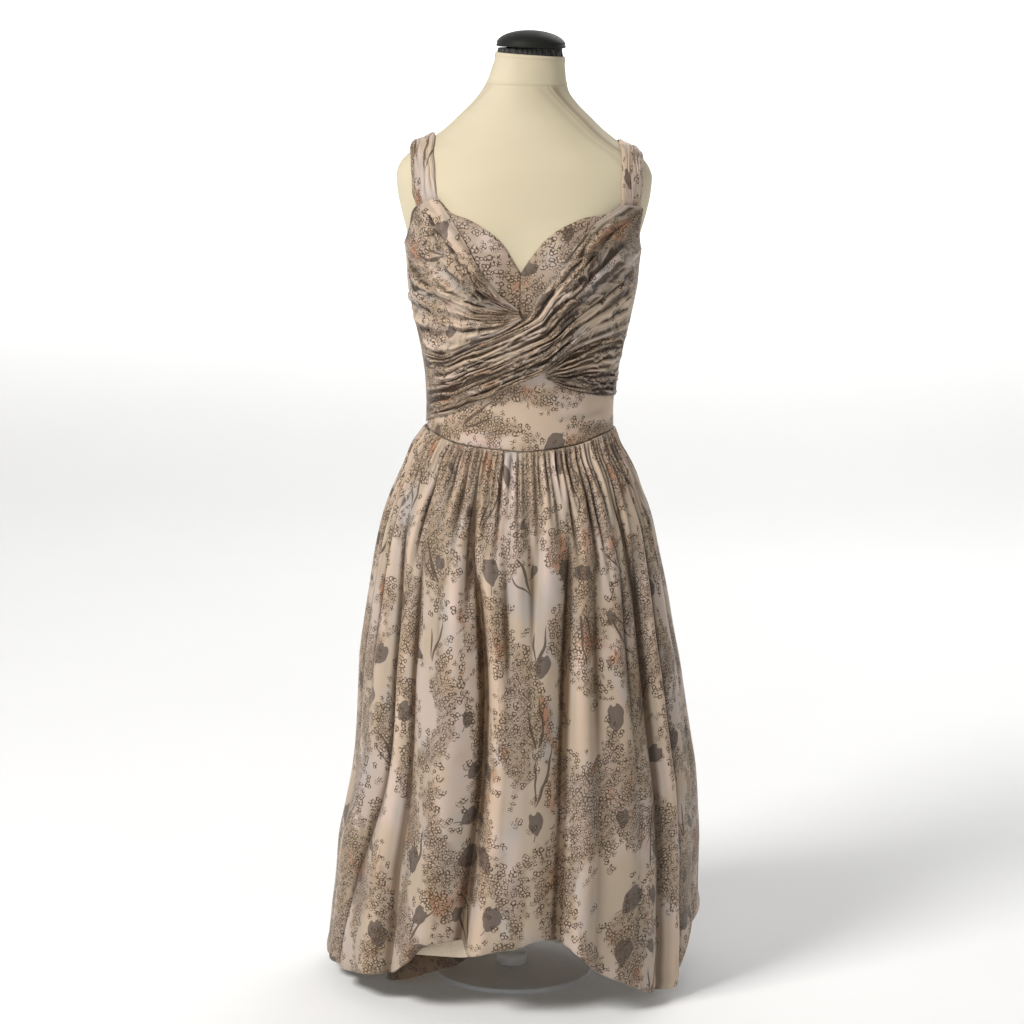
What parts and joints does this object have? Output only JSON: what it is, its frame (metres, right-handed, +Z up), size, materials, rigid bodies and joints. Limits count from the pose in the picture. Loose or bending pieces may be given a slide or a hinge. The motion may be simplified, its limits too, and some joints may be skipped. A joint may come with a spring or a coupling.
{
  "type": "cocktail dress on a limbless dress form",
  "caption": "Sleeveless cocktail dress with a sweetheart neckline, crossed gathered drapes, wide straps and a full gathered skirt, on a limbless dress form with a neck cap and a plain stand.",
  "frame": {"origin": "centre of the stand's base plate, on its underside", "axes": "+Z up along the pole to the neck cap, -Y toward the front of the dress, +X to the right as seen from the front"},
  "size_m": [0.5384, 0.4747, 1.3336],
  "materials": {
    "printed_chiffon": "sheer printed cloth with a soft sheen over a lining",
    "lining": "plain cream lining",
    "jersey": "matt knitted jersey",
    "neck_cap": "glossy black",
    "stand": "satin off-white paint"
  },
  "bodies": {
    "root": {"form_torso": "jersey", "form_neck_cap": "neck_cap", "form_pole": "stand", "form_base": "stand", "midriff_front": "printed_chiffon", "cup_left": "printed_chiffon", "cup_right": "printed_chiffon", "drape_cup_left": "printed_chiffon", "drape_wrap": "printed_chiffon", "drape_side_right": "printed_chiffon", "bodice_back_left": "printed_chiffon", "bodice_back_right": "printed_chiffon", "strap_left": "printed_chiffon", "strap_right": "printed_chiffon", "skirt_front": "printed_chiffon", "skirt_back": "printed_chiffon", "skirt_lining": "lining"}
  },
  "joints": []
}
